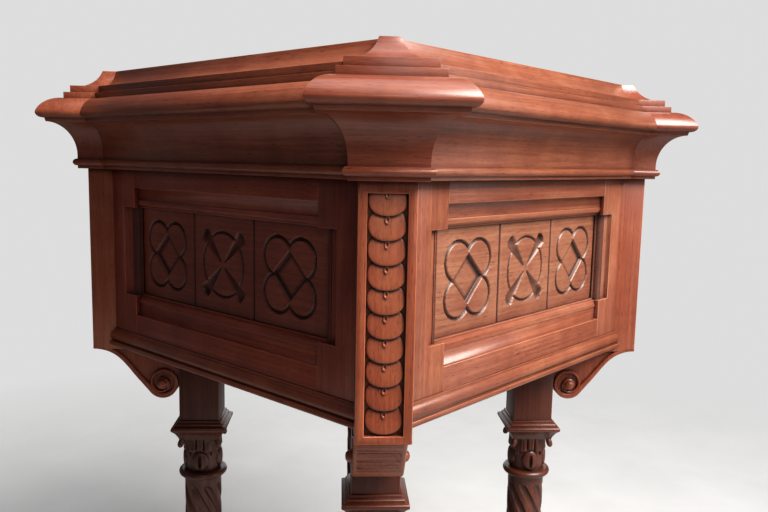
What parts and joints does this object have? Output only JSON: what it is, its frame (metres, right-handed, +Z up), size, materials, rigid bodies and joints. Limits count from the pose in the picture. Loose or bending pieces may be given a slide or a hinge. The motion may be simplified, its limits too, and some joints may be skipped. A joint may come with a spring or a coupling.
{
  "type": "sewing table",
  "caption": "Square lidded sewing table: canted carved corner posts, panelled case, deep coved lift-up cornice, sliding till, turned legs on crossed stretchers.",
  "frame": {"origin": "on the floor, under the centre of the table", "axes": "+Z up; the front looks along -Y, the hinges are at the back along +Y; +X is the table's right as seen from the front"},
  "size_m": [0.6002, 0.6002, 0.78],
  "materials": {
    "frame_wood": "satin varnished walnut, grain along each member",
    "post_wood": "satin varnished walnut, carved",
    "panel_wood": "satin varnished figured walnut, carved",
    "moulding_wood": "satin varnished walnut, run mouldings",
    "turned_wood": "satin varnished walnut, turned and carved",
    "top_wood": "satin varnished walnut boards",
    "inner_wood": "plain unpolished secondary wood",
    "till_wood": "waxed light mahogany",
    "brass": "aged brass",
    "steel_screws": "dull steel"
  },
  "bodies": {
    "case": {"back_base_moulding": "moulding_wood", "back_bottom_rail": "frame_wood", "back_panel": "panel_wood", "back_stiles": "frame_wood", "back_top_rail": "frame_wood", "bracket_back_left": "post_wood", "bracket_back_right": "post_wood", "bracket_front_left": "post_wood", "bracket_front_right": "post_wood", "case_bottom": "inner_wood", "case_hinge_leaves": "brass", "case_hinge_screws": "steel_screws", "foot_back_left": "turned_wood", "foot_back_right": "turned_wood", "foot_front_left": "turned_wood", "foot_front_right": "turned_wood", "front_base_moulding": "moulding_wood", "front_bottom_rail": "frame_wood", "front_panel": "panel_wood", "front_stiles": "frame_wood", "front_top_rail": "frame_wood", "hinge_pins": "brass", "left_base_moulding": "moulding_wood", "left_bottom_rail": "frame_wood", "left_panel": "panel_wood", "left_stiles": "frame_wood", "left_top_rail": "frame_wood", "leg_back_left": "turned_wood", "leg_back_right": "turned_wood", "leg_front_left": "turned_wood", "leg_front_right": "turned_wood", "post_back_left": "post_wood", "post_back_right": "post_wood", "post_front_left": "post_wood", "post_front_right": "post_wood", "right_base_moulding": "moulding_wood", "right_bottom_rail": "frame_wood", "right_panel": "panel_wood", "right_stiles": "frame_wood", "right_top_rail": "frame_wood", "stretcher_finial": "turned_wood", "stretcher_lower": "turned_wood", "stretcher_upper": "turned_wood", "till_runners": "inner_wood"},
    "lid": {"back_cornice": "moulding_wood", "cornice_block_back_left": "moulding_wood", "cornice_block_back_right": "moulding_wood", "cornice_block_front_left": "moulding_wood", "cornice_block_front_right": "moulding_wood", "front_cornice": "moulding_wood", "left_cornice": "moulding_wood", "lid_hinge_leaves": "brass", "lid_hinge_screws": "steel_screws", "right_cornice": "moulding_wood", "top_board": "top_wood"},
    "till": {"till_bottom": "till_wood", "till_dividers": "till_wood", "till_ends": "till_wood", "till_pull": "till_wood", "till_sides": "till_wood"}
  },
  "joints": [
    {"name": "lid_hinge", "type": "hinge", "parent": "case", "child": "lid", "pos_m": [0, 0.245, 0.671], "axis": [-1, 0, 0], "range_deg": [0, 95]},
    {"name": "till_slide", "type": "slide", "parent": "case", "child": "till", "axis": [1, 0, 0], "range_m": [0, 0.1904]}
  ]
}
